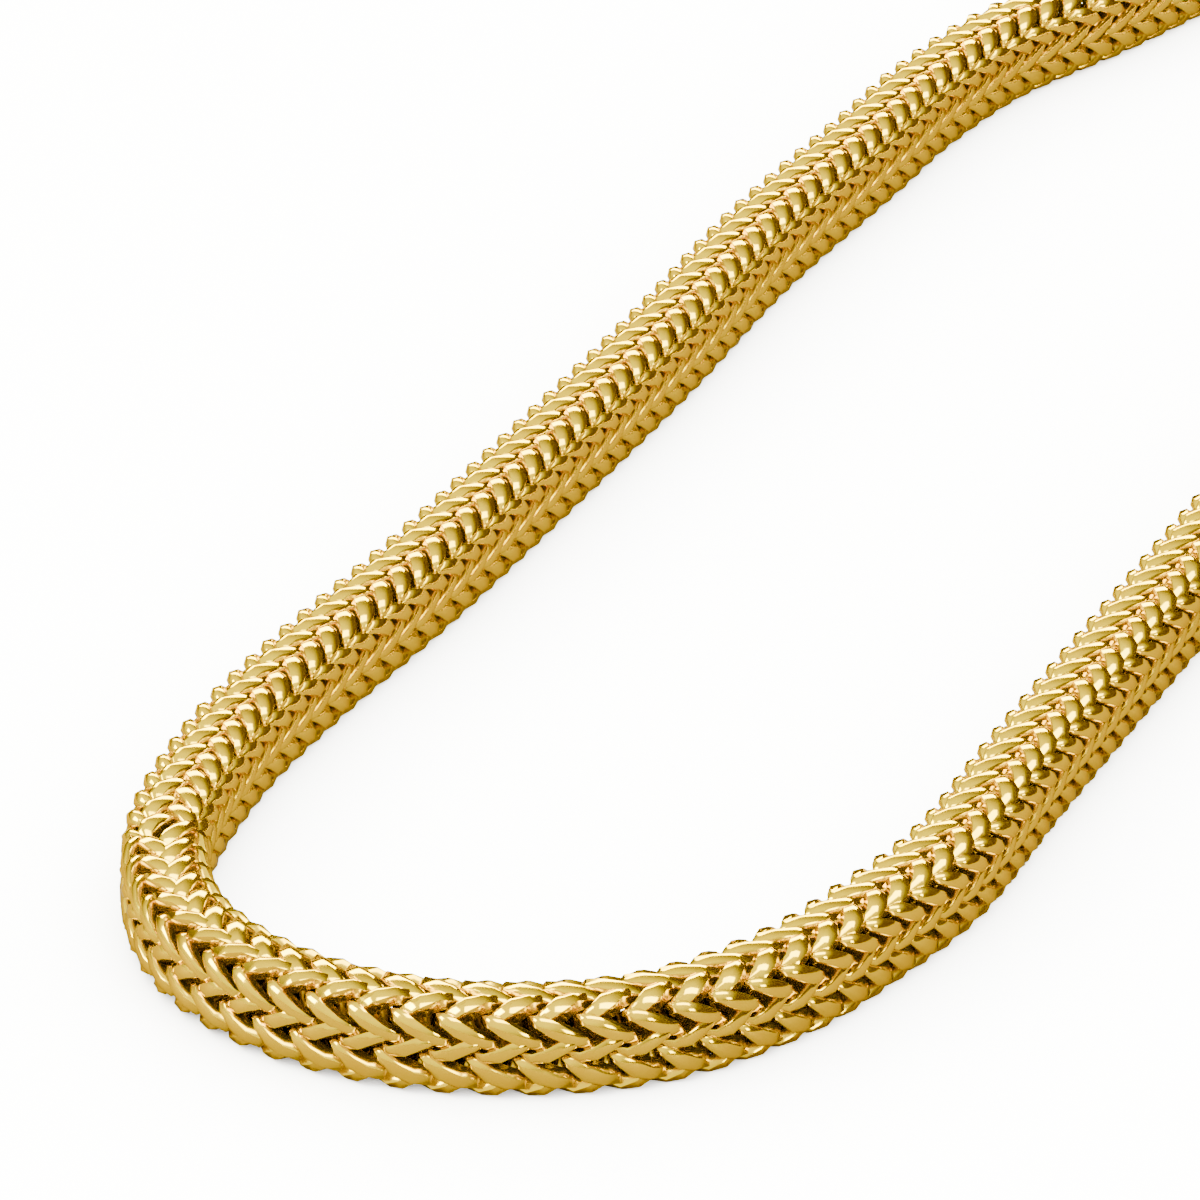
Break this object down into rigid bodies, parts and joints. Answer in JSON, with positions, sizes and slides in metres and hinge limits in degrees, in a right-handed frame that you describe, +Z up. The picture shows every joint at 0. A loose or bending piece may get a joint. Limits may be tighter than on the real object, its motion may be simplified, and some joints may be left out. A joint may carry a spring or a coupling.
{
  "type": "franco chain necklace",
  "caption": "Thick yellow-gold franco chain necklace: a closed loop of ridged, densely interlocked bent links with a plain bar clasp, lying flat on a surface.",
  "frame": {"origin": "on the surface that the necklace lies on, under the middle of the loop", "axes": "+Z up, +Y along the loop's length from its front bend towards the clasp, +X to the right as seen from the front bend"},
  "size_m": [0.1292, 0.2218, 0.0059],
  "materials": {
    "polished_gold": "mirror-polished yellow gold plate with flat cut facets",
    "clasp_gold": "polished yellow gold plate with fine brushing along its waist"
  },
  "bodies": {
    "root": {"franco_chain": "polished_gold", "clasp": "clasp_gold"}
  },
  "joints": []
}
